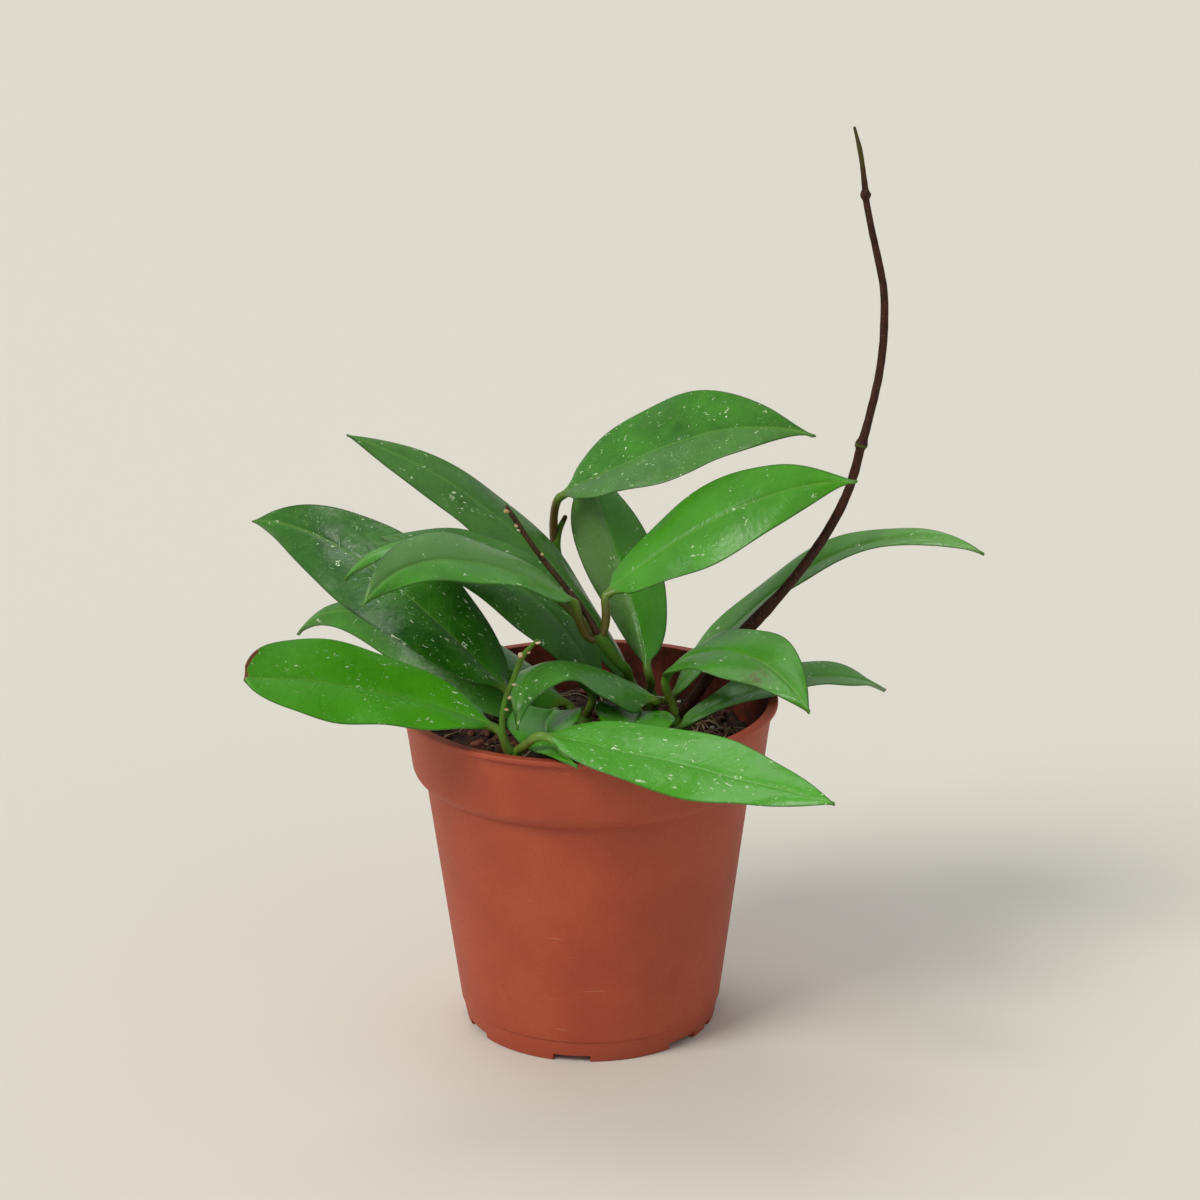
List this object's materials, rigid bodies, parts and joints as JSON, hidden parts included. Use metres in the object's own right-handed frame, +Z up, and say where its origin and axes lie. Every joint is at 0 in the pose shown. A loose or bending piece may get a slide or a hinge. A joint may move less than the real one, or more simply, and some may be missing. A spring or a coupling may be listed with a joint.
{
  "type": "potted hoya plant",
  "caption": "Young wax plant with broad pointed leaves, flower stalks and a long bare climbing shoot, growing in a round banded plastic nursery pot.",
  "frame": {"origin": "on the surface the pot stands on, under the middle of the whole plant's outline", "axes": "+Z up, +Y away from the viewer of the picture, +X to its right"},
  "size_m": [0.2032, 0.134, 0.2495],
  "materials": {
    "pot": "terracotta-coloured moulded plastic, matt, lightly scuffed",
    "soil": "dark moist potting compost with bark crumbs and fine roots",
    "leaf": "waxy semi-gloss green leaf with fine silver flecks and a thin dark margin",
    "stem": "olive-brown green stem, satin",
    "vine": "dark brown woody climbing shoot, greener at its tip"
  },
  "bodies": {
    "root": {"pot": "pot", "soil": "soil", "stem_middle": "stem", "stem_tall": "stem", "stem_back": "stem", "stem_right": "stem", "stem_inner": "stem", "stem_left": "stem", "stem_low": "stem", "stem_front": "stem", "vine": "vine", "leaf_top": "leaf", "leaf_upper_right": "leaf", "leaf_back": "leaf", "leaf_long": "leaf", "leaf_left": "leaf", "leaf_centre": "leaf", "leaf_small": "leaf", "leaf_under": "leaf", "leaf_low_left": "leaf", "leaf_dark": "leaf", "leaf_arched": "leaf", "leaf_front_right": "leaf", "leaf_far_right": "leaf", "leaf_low_right": "leaf", "leaf_front": "leaf", "leaf_over_rim": "leaf", "leaf_inner": "leaf"}
  },
  "joints": []
}
